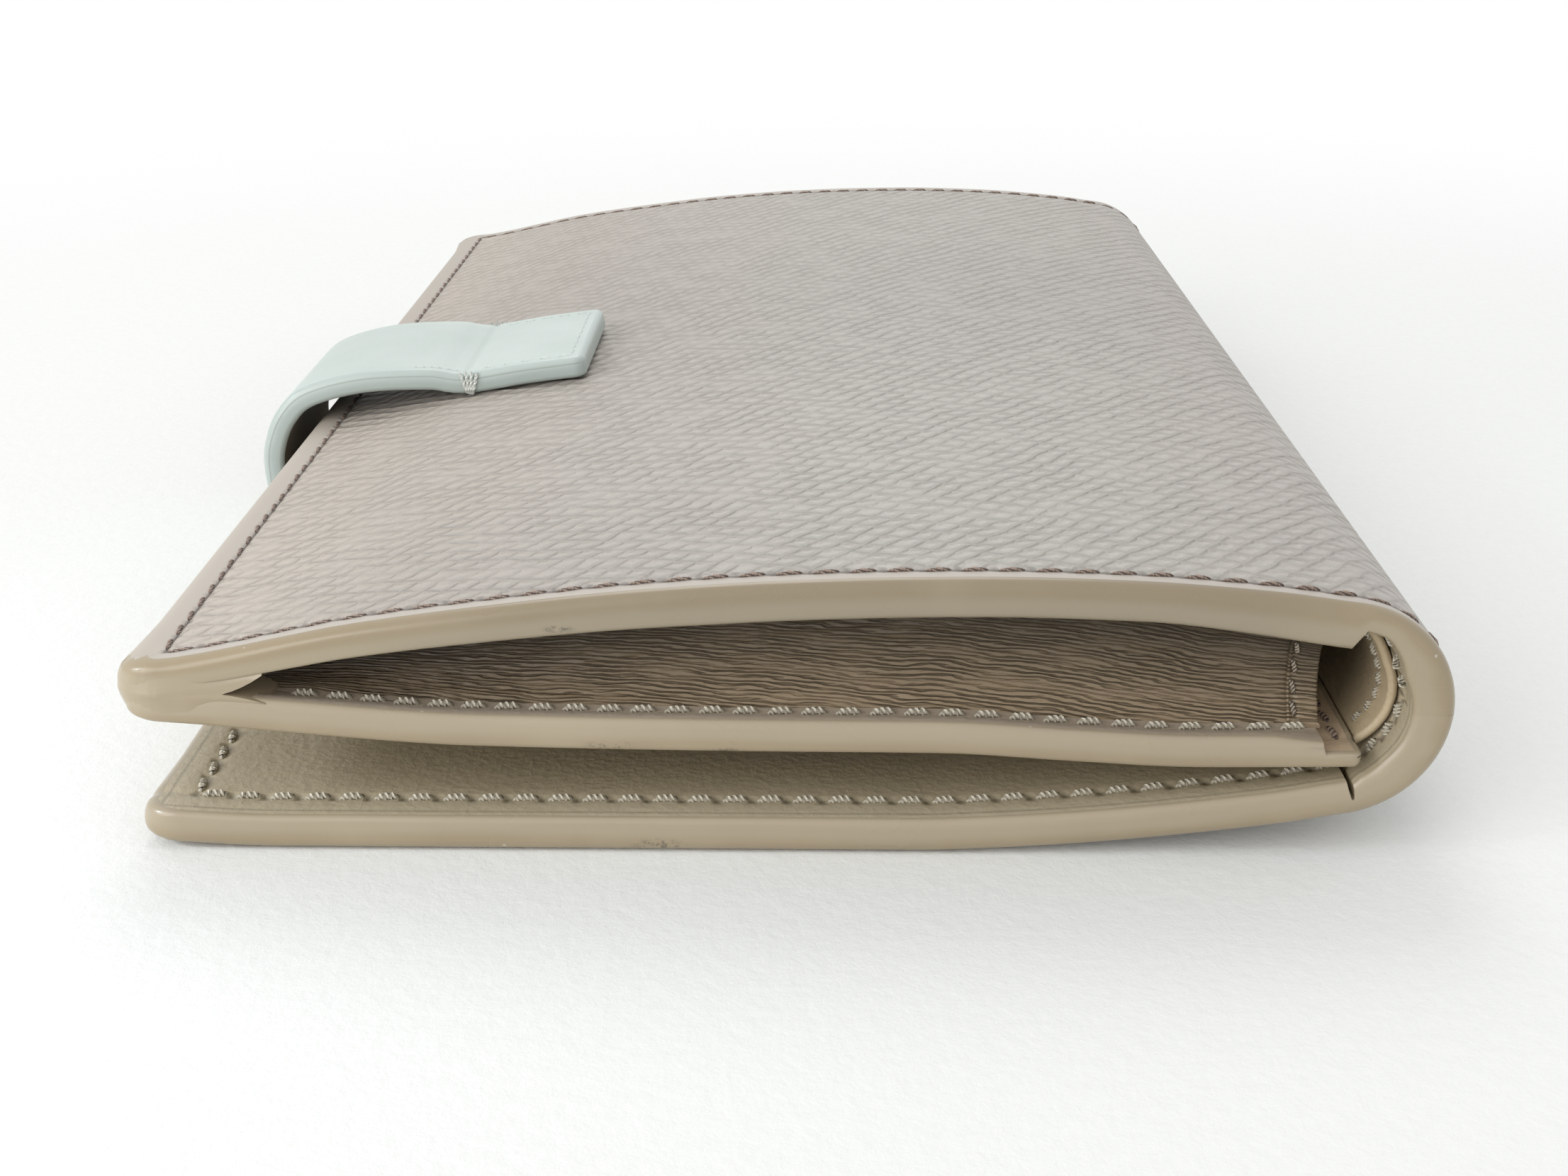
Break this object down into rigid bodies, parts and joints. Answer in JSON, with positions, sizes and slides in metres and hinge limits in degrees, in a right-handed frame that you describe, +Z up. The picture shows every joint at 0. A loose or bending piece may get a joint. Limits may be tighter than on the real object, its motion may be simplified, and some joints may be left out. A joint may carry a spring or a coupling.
{
  "type": "strap wallet",
  "caption": "Long folding wallet of grained leather with a rounded spine, a gusseted note compartment, card pockets on an inner panel and a pale strap that snaps round the fore-edge.",
  "frame": {"origin": "on the table, under the middle of the closed wallet with its strap", "axes": "+X from the fore-edge to the spine, +Y along the spine, +Z up out of the back cover, with the wallet closed and lying on its front cover"},
  "size_m": [0.1058, 0.15, 0.0231],
  "materials": {
    "outer_leather": "grained, light taupe",
    "lining_leather": "smooth, taupe brown",
    "stiffener_board": "bonded fibre board",
    "strap_leather": "smooth, pale blue grey",
    "strap_lining": "smooth, dark taupe",
    "snap_metal": "satin nickel"
  },
  "bodies": {
    "front_cover": {"front_cover_leather": "outer_leather", "front_board": "stiffener_board", "front_lining": "lining_leather", "front_spine_lining": "lining_leather", "snap_stud": "snap_metal", "snap_washer": "snap_metal"},
    "spine": {"spine_leather": "outer_leather", "spine_lining": "lining_leather", "spine_strip": "lining_leather"},
    "back_cover": {"back_cover_leather": "outer_leather", "back_board": "stiffener_board", "back_lining": "lining_leather", "back_spine_lining": "lining_leather", "panel_leather": "lining_leather", "panel_lining": "lining_leather", "card_pocket_1_1": "lining_leather", "card_pocket_1_2": "lining_leather", "card_pocket_2_1": "lining_leather", "card_pocket_2_2": "lining_leather", "near_gusset": "lining_leather", "far_gusset": "lining_leather", "strap_tail_leather": "strap_leather", "strap_tail_lining": "strap_lining"},
    "strap_loop": {"strap_loop_leather": "strap_leather", "strap_loop_lining": "strap_lining"},
    "strap_end": {"strap_end_leather": "strap_leather", "strap_end_lining": "strap_lining", "snap_socket": "snap_metal"}
  },
  "joints": [
    {"name": "cover_fold", "type": "hinge", "parent": "spine", "child": "back_cover", "pos_m": [0.05036, 0, 0.01846], "axis": [0, 1, 0], "range_deg": [0, 90], "deforming": ["strap_loop_leather", "strap_loop_lining", "strap_end_leather", "strap_end_lining", "snap_socket"]},
    {"name": "spine_fold", "type": "hinge", "parent": "front_cover", "child": "spine", "pos_m": [0.05036, 0, 0.00594], "axis": [0, 1, 0], "range_deg": [0, 90]},
    {"name": "strap_peel", "type": "hinge", "parent": "strap_loop", "child": "strap_end", "pos_m": [-0.04988, -0.006, 0.00251], "axis": [0, 1, 0], "range_deg": [0, 150]},
    {"name": "strap_lift", "type": "hinge", "parent": "back_cover", "child": "strap_loop", "pos_m": [-0.03085, -0.006, 0.02124], "axis": [0, 1, 0], "range_deg": [0, 60]}
  ],
  "couplings": [
    {"joint": "spine_fold", "follows": "cover_fold", "ratio": 1},
    {"joint": "strap_lift", "follows": "strap_peel", "ratio": 0.4}
  ]
}
